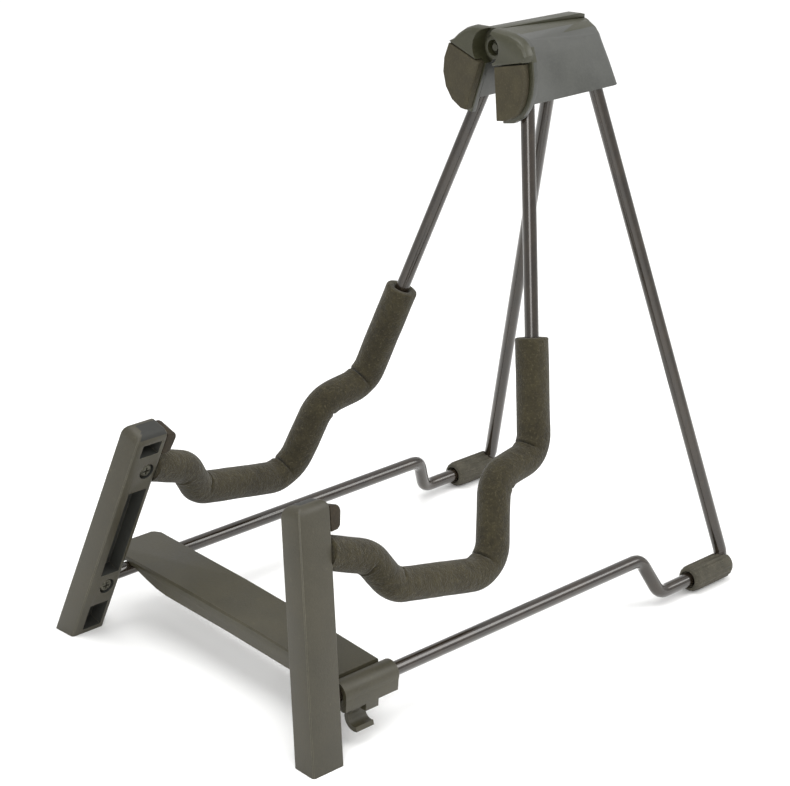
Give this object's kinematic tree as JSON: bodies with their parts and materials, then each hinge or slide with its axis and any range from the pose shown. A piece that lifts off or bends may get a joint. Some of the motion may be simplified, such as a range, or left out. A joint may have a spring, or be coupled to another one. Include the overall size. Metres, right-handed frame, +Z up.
{
  "type": "guitar rack",
  "caption": "Fold-flat A-frame floor stand for a small-bodied stringed instrument, with bent-rod side frames, foam-sleeved cradle arms, upright front stops, a hinged head and a crossbar.",
  "frame": {"origin": "on the floor, at the centre of the stand's plan outline", "axes": "+X points to the right for someone who stands in front of the two upright stops and looks at the stand, square to the mirror plane between the two side frames; -Y to the two upright stops, +Y to the rear feet; +Z up"},
  "size_m": [0.1614, 0.2624, 0.2519],
  "materials": {
    "rod": "dark bronze-black lacquer, glossy",
    "foam": "closed-cell foam, matte with a fine speckle",
    "shell": "fine-grained matte",
    "head": "satin",
    "pad": "matte",
    "foot_rubber": "matte, ribbed",
    "screw": "dark oxide, satin",
    "pin": "plain"
  },
  "bodies": {
    "right_side": {"right_wire_frame": "rod", "right_foam_sleeve": "foam", "right_front_leg": "shell", "right_lip_pad": "pad", "right_upper_screw": "screw", "right_lower_screw": "screw", "right_rear_foot": "foot_rubber", "right_head_shell": "head", "right_head_bumper": "pad", "hinge_pin": "pin"},
    "left_side": {"left_wire_frame": "rod", "left_foam_sleeve": "foam", "left_front_leg": "shell", "left_lip_pad": "pad", "left_upper_screw": "screw", "left_lower_screw": "screw", "left_rear_foot": "foot_rubber", "left_head_shell": "head", "left_head_bumper": "pad"},
    "crossbar": {"crossbar": "shell"}
  },
  "joints": [
    {"name": "head_fold", "type": "hinge", "parent": "right_side", "child": "left_side", "pos_m": [0, 0.06, 0.2435], "axis": [0, -1, 0], "range_deg": [0, 29.5]},
    {"name": "crossbar_swing", "type": "hinge", "parent": "right_side", "child": "crossbar", "pos_m": [0.06781, -0.096, 0.0235], "axis": [0, 1, 0], "range_deg": [0, 8]}
  ]
}
